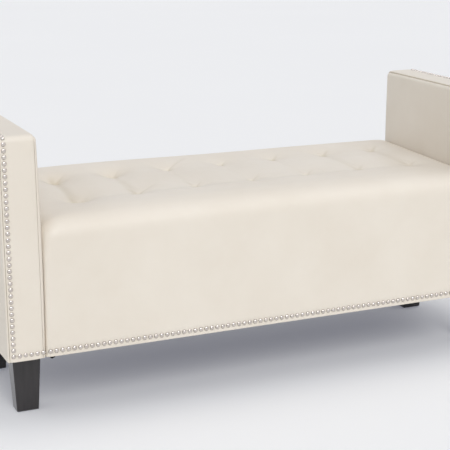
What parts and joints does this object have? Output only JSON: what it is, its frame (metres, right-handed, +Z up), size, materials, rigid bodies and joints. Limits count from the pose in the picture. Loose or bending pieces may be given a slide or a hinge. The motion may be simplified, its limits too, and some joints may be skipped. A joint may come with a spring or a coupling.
{
  "type": "upholstered arm bench",
  "caption": "Upholstered arm bench with a tufted waterfall seat, square arms, nailhead trim and tapered block legs, to sit on in a hall or at the foot of a bed.",
  "frame": {"origin": "on the floor, under the middle of the bench", "axes": "+X along the bench to the right as seen from the front, the front faces -Y, +Z up"},
  "size_m": [1.26, 0.5028, 0.6278],
  "materials": {
    "ivory_leather": "satin ivory leather with a fine grain",
    "espresso_wood": "espresso stain under satin lacquer",
    "frame_wood": "planed softwood",
    "plywood": "raw plywood",
    "hardboard": "raw hardboard",
    "foam": "open-cell seat foam",
    "wadding": "polyester wadding",
    "nickel": "polished nickel plate",
    "zinc_steel": "zinc-plated steel",
    "black_cambric": "black non-woven cambric",
    "glide_plastic": "moulded glide",
    "twine": "waxed tufting twine"
  },
  "bodies": {
    "root": {"base_cross_braces": "frame_wood", "dust_cover": "black_cambric", "frame_screws": "zinc_steel", "front_base_rail": "frame_wood", "front_board": "plywood", "front_left_leg": "espresso_wood", "front_left_leg_block": "frame_wood", "front_nailheads": "nickel", "front_right_leg": "espresso_wood", "front_right_leg_block": "frame_wood", "front_upper_rail": "frame_wood", "left_arm_band_cover": "ivory_leather", "left_arm_band_padding": "wadding", "left_arm_inner_board": "hardboard", "left_arm_inner_cover": "ivory_leather", "left_arm_inner_foam": "foam", "left_arm_nailheads": "nickel", "left_arm_outer_board": "hardboard", "left_arm_outer_cover": "ivory_leather", "left_arm_tacking_rail": "frame_wood", "left_arm_top_rail": "frame_wood", "left_base_end_rail": "frame_wood", "left_front_post": "frame_wood", "left_rear_post": "frame_wood", "left_seat_end_rail": "frame_wood", "leg_glides": "glide_plastic", "leg_hanger_bolts": "zinc_steel", "leg_tee_nuts": "zinc_steel", "rear_base_rail": "frame_wood", "rear_board": "plywood", "rear_left_leg": "espresso_wood", "rear_left_leg_block": "frame_wood", "rear_right_leg": "espresso_wood", "rear_right_leg_block": "frame_wood", "rear_upper_rail": "frame_wood", "right_arm_band_cover": "ivory_leather", "right_arm_band_padding": "wadding", "right_arm_inner_board": "hardboard", "right_arm_inner_cover": "ivory_leather", "right_arm_inner_foam": "foam", "right_arm_nailheads": "nickel", "right_arm_outer_board": "hardboard", "right_arm_outer_cover": "ivory_leather", "right_arm_tacking_rail": "frame_wood", "right_arm_top_rail": "frame_wood", "right_base_end_rail": "frame_wood", "right_front_post": "frame_wood", "right_rear_post": "frame_wood", "right_seat_end_rail": "frame_wood", "seat_cover": "ivory_leather", "seat_deck": "plywood", "seat_deck_braces": "frame_wood", "seat_foam": "foam", "seat_front_padding": "wadding", "seat_rear_cover": "ivory_leather", "seat_rear_padding": "wadding", "seat_uprights": "frame_wood", "tuft_twines": "twine", "tuft_washers": "zinc_steel"}
  },
  "joints": []
}
